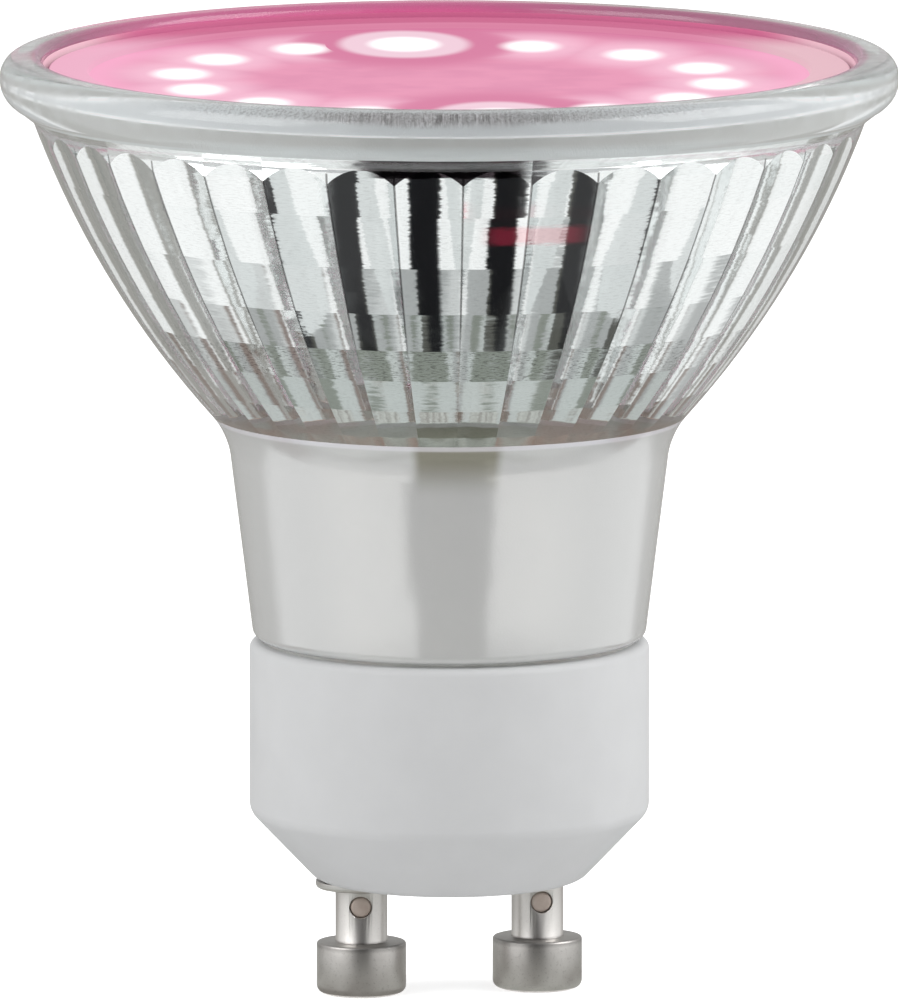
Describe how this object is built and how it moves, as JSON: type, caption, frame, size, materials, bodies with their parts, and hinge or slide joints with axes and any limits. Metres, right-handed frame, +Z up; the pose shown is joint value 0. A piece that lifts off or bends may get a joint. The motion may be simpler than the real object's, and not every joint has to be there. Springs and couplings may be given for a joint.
{
  "type": "grow light bulb",
  "caption": "Twist-lock grow light bulb with a fluted mirrored glass reflector, satin neck, white base, two pins and a recessed pink glowing cover",
  "frame": {"origin": "on the lamp's axis, in the plane of the two pin feet", "axes": "+Z up the lamp's axis to the front cover, the two pins on the X axis, -Y the side that the picture shows, turned by about ten degrees"},
  "size_m": [0.05, 0.05, 0.0527],
  "materials": {
    "clear_glass": "clear pressed glass, vacuum-metallised on its fluted inner face, satin silver in the neck",
    "pink_diffuser": "translucent, lit pink from behind",
    "silicone": "soft, milky",
    "light_board": "white solder mask on an aluminium core",
    "spun_aluminium": "plain spun",
    "white_plastic": "matte moulded",
    "circuit_board": "green solder mask",
    "capacitor_sleeve": "dark shrink sleeve on an aluminium can",
    "ferrite": "dull dark grey",
    "copper": "bare or enamelled copper",
    "resistor_coat": "lacquered",
    "choke_coat": "lacquered",
    "film_capacitor": "moulded box",
    "black_package": "moulded package",
    "red_insulation": "smooth insulation",
    "black_insulation": "smooth insulation",
    "base_plastic": "matte moulded, heat resistant",
    "cement": "dull",
    "pin_metal": "turned and nickel plated",
    "light_package": "white package with a filled well"
  },
  "bodies": {
    "root": {"glass_reflector": "clear_glass", "front_cover": "pink_diffuser", "cover_seal": "silicone", "light_board": "light_board", "heat_spreader": "spun_aluminium", "driver_housing": "white_plastic", "driver_board": "circuit_board", "input_capacitor": "capacitor_sleeve", "output_capacitor": "capacitor_sleeve", "coil_core": "ferrite", "coil_winding": "copper", "fusible_resistor": "resistor_coat", "filter_choke": "choke_coat", "film_capacitor": "film_capacitor", "bridge_rectifier": "black_package", "driver_chip": "black_package", "freewheel_diode": "black_package", "flat_resistor_1": "black_package", "flat_resistor_2": "black_package", "lamp_wire_plus": "red_insulation", "lamp_wire_minus": "black_insulation", "mains_wire_left": "copper", "mains_wire_right": "copper", "base_cap": "base_plastic", "base_cement": "cement", "pin_left": "pin_metal", "pin_right": "pin_metal", "led_1": "light_package", "led_2": "light_package", "led_3": "light_package", "led_4": "light_package", "led_5": "light_package", "led_6": "light_package", "led_7": "light_package", "led_8": "light_package", "led_9": "light_package", "led_10": "light_package", "led_11": "light_package", "led_12": "light_package", "led_13": "light_package", "led_14": "light_package"}
  },
  "joints": []
}
